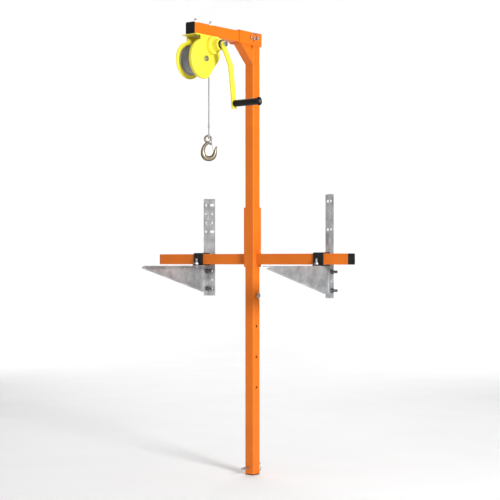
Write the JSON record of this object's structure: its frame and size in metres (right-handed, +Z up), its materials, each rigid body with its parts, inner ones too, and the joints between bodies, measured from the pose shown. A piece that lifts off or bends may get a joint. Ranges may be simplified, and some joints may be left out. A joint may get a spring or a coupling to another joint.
{
  "type": "portable wall-bracket crane with hand winch",
  "caption": "Square-tube mast with a jib, hand-crank rope winch and latch hook, on a crossbar clamped to triangular wall brackets.",
  "frame": {"origin": "centre of the mast's foot, on the foot plug's underside", "axes": "+Z up the mast, X along the crossbar, -Y along the jib away from the wall, +Y towards the wall"},
  "size_m": [0.921, 0.446, 1.674],
  "materials": {
    "orange_paint": "satin powder coat",
    "yellow_paint": "gloss powder coat",
    "black_plastic": "moulded",
    "black_grip": "matte",
    "black_steel": "satin black",
    "galvanised": "zinc-coated sheet",
    "bright_zinc": "bright zinc plate",
    "machined_steel": "machined, oiled",
    "brass_bush": "machined",
    "friction": "brake lining",
    "rope_steel": "laid wire",
    "hook_zinc": "yellow zinc plate"
  },
  "bodies": {
    "left_bracket": {"left_upright": "galvanised", "left_arm": "galvanised", "left_bracket_bolts": "black_steel", "left_clamp_strap": "black_steel", "left_clamp_bolt": "bright_zinc"},
    "crane_frame": {"mast_lower_tube": "orange_paint", "mast_foot_plug": "black_plastic", "mast_upper_tube": "orange_paint", "mast_sleeve": "orange_paint", "crossbar_collar": "orange_paint", "crossbar_tubes": "orange_paint", "crossbar_end_plugs": "black_plastic", "head_socket": "orange_paint", "corner_brace": "orange_paint", "jib_tube": "orange_paint", "jib_end_plug": "black_plastic", "winch_frame": "yellow_paint", "gear_cover": "yellow_paint", "drum_axle": "machined_steel", "drum_axle_nuts": "bright_zinc", "pinion_bushes": "brass_bush", "winch_bolts": "bright_zinc", "winch_nuts": "bright_zinc", "pawl_pin": "machined_steel", "pawl_spring": "machined_steel", "rope_hanging": "rope_steel"},
    "right_bracket": {"right_upright": "galvanised", "right_arm": "galvanised", "right_bracket_bolts": "black_steel", "right_clamp_strap": "black_steel", "right_clamp_bolt": "bright_zinc"},
    "left_nut": {"left_clamp_nut": "bright_zinc"},
    "right_nut": {"right_clamp_nut": "bright_zinc"},
    "drum": {"drum": "galvanised", "drum_bushes": "brass_bush", "drum_gear": "machined_steel", "wound_rope": "rope_steel"},
    "crank": {"pinion_shaft": "machined_steel", "pinion_gear": "machined_steel", "ratchet_wheel": "machined_steel", "brake_discs": "friction", "brake_spacer": "black_plastic", "crank_hub": "machined_steel", "crank_arm": "yellow_paint", "crank_nut": "bright_zinc", "grip_spindle": "bright_zinc"},
    "grip": {"grip": "black_grip"},
    "pawl": {"pawl": "machined_steel"},
    "hook": {"rope_eye": "rope_steel", "rope_ferrule": "rope_steel", "rope_thimble": "bright_zinc", "hook": "hook_zinc", "latch_rivet": "galvanised"},
    "latch": {"hook_latch": "galvanised"},
    "socket_pin": {"socket_pin": "bright_zinc"},
    "socket_pin_bail": {"socket_pin_bail": "bright_zinc"},
    "mast_pin": {"mast_pin": "bright_zinc"},
    "mast_pin_bail": {"mast_pin_bail": "bright_zinc"},
    "foot_pin": {"foot_pin": "bright_zinc"},
    "foot_pin_bail": {"foot_pin_bail": "bright_zinc"}
  },
  "joints": [
    {"name": "crane_slide", "type": "slide", "parent": "left_bracket", "child": "crane_frame", "axis": [1, 0, 0], "range_m": [-0.1, 0.1]},
    {"name": "right_bracket_slide", "type": "slide", "parent": "crane_frame", "child": "right_bracket", "axis": [1, 0, 0], "range_m": [-0.1, 0.1]},
    {"name": "left_nut_turn", "type": "hinge", "parent": "left_bracket", "child": "left_nut", "pos_m": [-0.263, -0.0218, 0.79], "axis": [0, 0, 1], "continuous": true},
    {"name": "right_nut_turn", "type": "hinge", "parent": "right_bracket", "child": "right_nut", "pos_m": [0.3165, -0.0218, 0.79], "axis": [0, 0, 1], "continuous": true},
    {"name": "drum_spin", "type": "hinge", "parent": "crane_frame", "child": "drum", "pos_m": [0, -0.316, 1.525], "axis": [1, 0, 0], "range_deg": [0, 168]},
    {"name": "crank_spin", "type": "hinge", "parent": "crane_frame", "child": "crank", "pos_m": [0.1, -0.28026, 1.57566], "axis": [1, 0, 0], "range_deg": [-701, 0]},
    {"name": "grip_spin", "type": "hinge", "parent": "crank", "child": "grip", "pos_m": [0.19, -0.25209, 1.36453], "axis": [1, 0, 0], "continuous": true},
    {"name": "pawl_lift", "type": "hinge", "parent": "crane_frame", "child": "pawl", "pos_m": [0.049, -0.28247, 1.60097], "axis": [1, 0, 0], "range_deg": [0, 3.5], "stiffness_Nm_per_rad": 0.02, "springref_deg": -11.46},
    {"name": "hook_lift", "type": "slide", "parent": "crane_frame", "child": "hook", "axis": [0, 0, 1], "range_m": [0, 0.14945], "deforming": ["rope_hanging"]},
    {"name": "latch_swing", "type": "hinge", "parent": "hook", "child": "latch", "pos_m": [0.01825, -0.26171, 1.233], "axis": [-0.6347, 0.7727, 0], "range_deg": [0, 30], "stiffness_Nm_per_rad": 0.01, "springref_deg": -11.46},
    {"name": "socket_pin_slide", "type": "slide", "parent": "crane_frame", "child": "socket_pin", "axis": [1, 0, 0], "range_m": [0, 0.066]},
    {"name": "socket_bail_flip", "type": "hinge", "parent": "socket_pin", "child": "socket_pin_bail", "pos_m": [0.0309, -0.024, 1.635], "axis": [0, 1, 0], "range_deg": [0, 170]},
    {"name": "mast_pin_slide", "type": "slide", "parent": "crane_frame", "child": "mast_pin", "axis": [1, 0, 0], "range_m": [0, 0.048]},
    {"name": "mast_bail_flip", "type": "hinge", "parent": "mast_pin", "child": "mast_pin_bail", "pos_m": [0.0259, 0, 0.673], "axis": [0, 0, 1], "range_deg": [-85, 85]},
    {"name": "foot_pin_slide", "type": "slide", "parent": "crane_frame", "child": "foot_pin", "axis": [0, 1, 0], "range_m": [0, 0.088]},
    {"name": "foot_bail_flip", "type": "hinge", "parent": "foot_pin", "child": "foot_pin_bail", "pos_m": [0, 0.0259, 0.027], "axis": [0, 0, 1], "range_deg": [0, 170]}
  ],
  "couplings": [
    {"joint": "crank_spin", "follows": "drum_spin", "ratio": -4.1667},
    {"joint": "hook_lift", "follows": "drum_spin", "m_per_rad": 0.0508}
  ]
}
